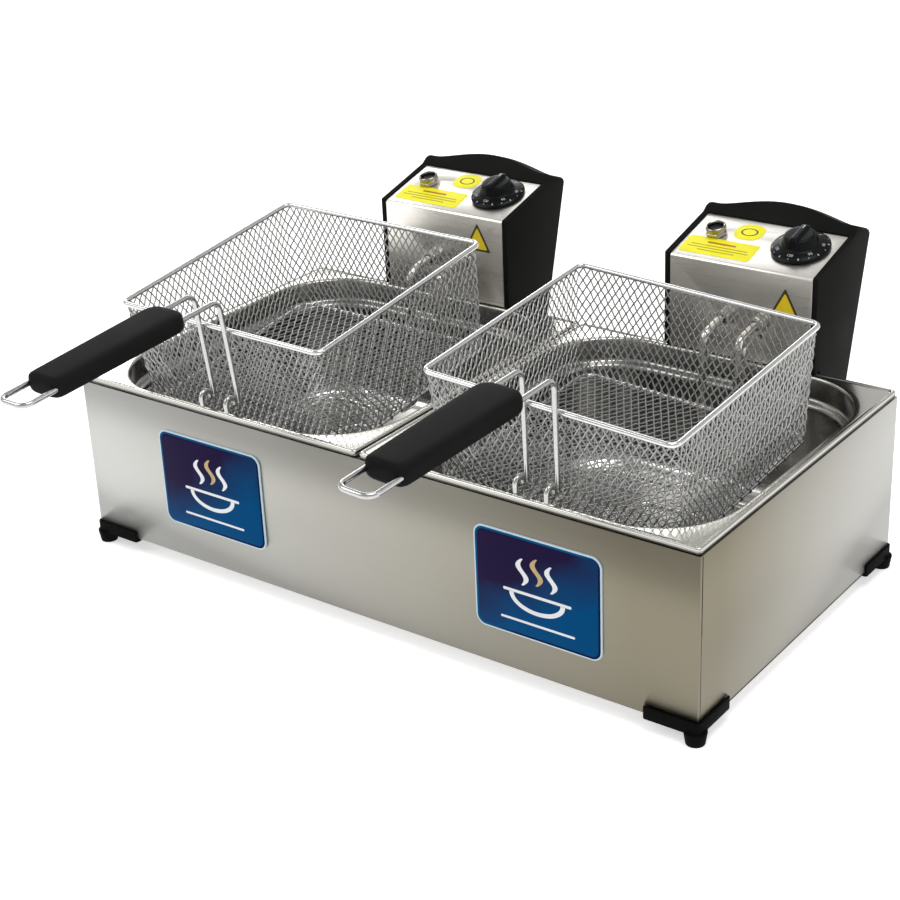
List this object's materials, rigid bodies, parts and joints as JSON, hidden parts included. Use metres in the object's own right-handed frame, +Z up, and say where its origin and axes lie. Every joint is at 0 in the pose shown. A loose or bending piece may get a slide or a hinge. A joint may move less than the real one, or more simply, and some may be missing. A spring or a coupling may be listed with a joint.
{
  "type": "deep fryer",
  "caption": "Twin countertop deep fryer: steel housing, drop-in pans, lift-off control heads with dial and reset button, wire baskets with long grips hung to drain.",
  "frame": {"origin": "centre of the footprint's bounding box, on the surface the feet stand on", "axes": "+X to the fryer's right seen from the front, +Y towards the control heads at the back, +Z up"},
  "size_m": [0.5594, 0.5546, 0.2488],
  "materials": {
    "housing_steel": "satin brushed",
    "foot_black": "matt",
    "badge_blue": "glossy printed plate",
    "pan_steel": "polished satin",
    "basket_wire": "bright plated mesh",
    "grip_black": "matt",
    "head_steel": "satin brushed",
    "shell_black": "fine grain",
    "control_ceramic": "matt",
    "bezel_chrome": "polished",
    "heater_steel": "drawn tube",
    "dial_black": "semi gloss, white marks",
    "button_black": "semi gloss"
  },
  "bodies": {
    "housing": {"housing_shell": "housing_steel", "back_panel": "housing_steel", "base_plate": "housing_steel", "centre_rail": "housing_steel", "foot_front_left": "foot_black", "foot_back_left": "foot_black", "badge_left": "badge_blue", "foot_front_right": "foot_black", "foot_back_right": "foot_black", "badge_right": "badge_blue"},
    "tank_left": {"tank_left": "pan_steel"},
    "basket_left": {"basket_mesh_left": "basket_wire", "basket_top_wire_left": "basket_wire", "basket_bottom_wire_left": "basket_wire", "basket_handle_wire_left": "basket_wire", "basket_grip_left": "grip_black"},
    "head_left": {"head_cover_left": "head_steel", "head_back_shell_left": "shell_black", "head_base_plate_left": "head_steel", "head_hook_bracket_left": "head_steel", "thermostat_body_left": "control_ceramic", "thermostat_bulb_left": "heater_steel", "reset_bezel_left": "bezel_chrome", "limit_thermostat_left": "control_ceramic", "terminal_block_left": "control_ceramic", "cable_gland_left": "shell_black", "heater_element_left": "heater_steel", "heater_nut_a_left": "head_steel", "heater_nut_b_left": "head_steel", "bulb_clip_left": "head_steel"},
    "dial_left": {"thermostat_knob_left": "dial_black", "thermostat_shaft_left": "head_steel"},
    "reset_left": {"reset_button_left": "button_black"},
    "tank_right": {"tank_right": "pan_steel"},
    "basket_right": {"basket_mesh_right": "basket_wire", "basket_top_wire_right": "basket_wire", "basket_bottom_wire_right": "basket_wire", "basket_handle_wire_right": "basket_wire", "basket_grip_right": "grip_black"},
    "head_right": {"head_cover_right": "head_steel", "head_back_shell_right": "shell_black", "head_base_plate_right": "head_steel", "head_hook_bracket_right": "head_steel", "thermostat_body_right": "control_ceramic", "thermostat_bulb_right": "heater_steel", "reset_bezel_right": "bezel_chrome", "limit_thermostat_right": "control_ceramic", "terminal_block_right": "control_ceramic", "cable_gland_right": "shell_black", "heater_element_right": "heater_steel", "heater_nut_a_right": "head_steel", "heater_nut_b_right": "head_steel", "bulb_clip_right": "head_steel"},
    "dial_right": {"thermostat_knob_right": "dial_black", "thermostat_shaft_right": "head_steel"},
    "reset_right": {"reset_button_right": "button_black"}
  },
  "joints": [
    {"name": "tank_lift_left", "type": "slide", "parent": "housing", "child": "tank_left", "axis": [0, 0, 1], "range_m": [0, 0.15]},
    {"name": "head_lift_left", "type": "slide", "parent": "tank_left", "child": "head_left", "axis": [0, 0, 1], "range_m": [0, 0.045]},
    {"name": "basket_lift_left", "type": "slide", "parent": "tank_left", "child": "basket_left", "axis": [0, 0, 1], "range_m": [0, 0.2]},
    {"name": "thermostat_turn_left", "type": "hinge", "parent": "head_left", "child": "dial_left", "pos_m": [-0.0986, 0.2252, 0.22934], "axis": [0, -0.2541, 0.9672], "range_deg": [-270, 0]},
    {"name": "reset_press_left", "type": "slide", "parent": "head_left", "child": "reset_left", "axis": [0, 0.2541, -0.9672], "range_m": [0, 0.002], "stiffness_N_per_m": 400, "springref_m": -0.001},
    {"name": "tank_lift_right", "type": "slide", "parent": "housing", "child": "tank_right", "axis": [0, 0, 1], "range_m": [0, 0.15]},
    {"name": "head_lift_right", "type": "slide", "parent": "tank_right", "child": "head_right", "axis": [0, 0, 1], "range_m": [0, 0.045]},
    {"name": "basket_lift_right", "type": "slide", "parent": "tank_right", "child": "basket_right", "axis": [0, 0, 1], "range_m": [0, 0.2]},
    {"name": "thermostat_turn_right", "type": "hinge", "parent": "head_right", "child": "dial_right", "pos_m": [0.1791, 0.2252, 0.22934], "axis": [0, -0.2541, 0.9672], "range_deg": [-270, 0]},
    {"name": "reset_press_right", "type": "slide", "parent": "head_right", "child": "reset_right", "axis": [0, 0.2541, -0.9672], "range_m": [0, 0.002], "stiffness_N_per_m": 400, "springref_m": -0.001}
  ]
}
